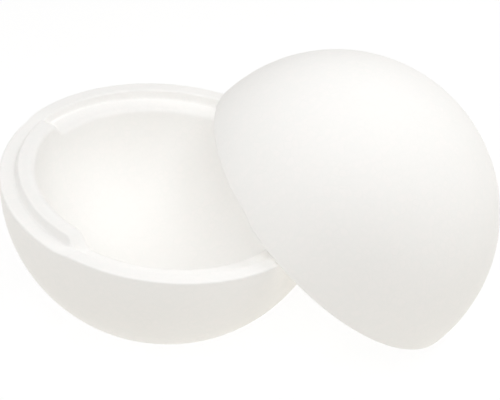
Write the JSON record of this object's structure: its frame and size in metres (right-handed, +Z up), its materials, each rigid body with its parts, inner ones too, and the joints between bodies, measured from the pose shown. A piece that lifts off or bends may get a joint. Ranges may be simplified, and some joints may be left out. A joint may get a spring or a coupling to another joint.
{
  "type": "hollow polystyrene ball in two halves",
  "caption": "Hollow craft ball of expanded polystyrene, opened: a half shell with a stepped rim lies as a bowl, and the matching half leans on it. It holds small gifts or filling.",
  "frame": {"origin": "on the floor, under the middle of the box round both halves", "axes": "+X runs from the lying half to the leaning half, +Y away from the viewer, +Z up"},
  "size_m": [0.301, 0.208, 0.1653],
  "materials": {
    "expanded_polystyrene": "matt, as moulded"
  },
  "bodies": {
    "root": {"lying_half": "expanded_polystyrene", "leaning_half": "expanded_polystyrene"}
  },
  "joints": []
}
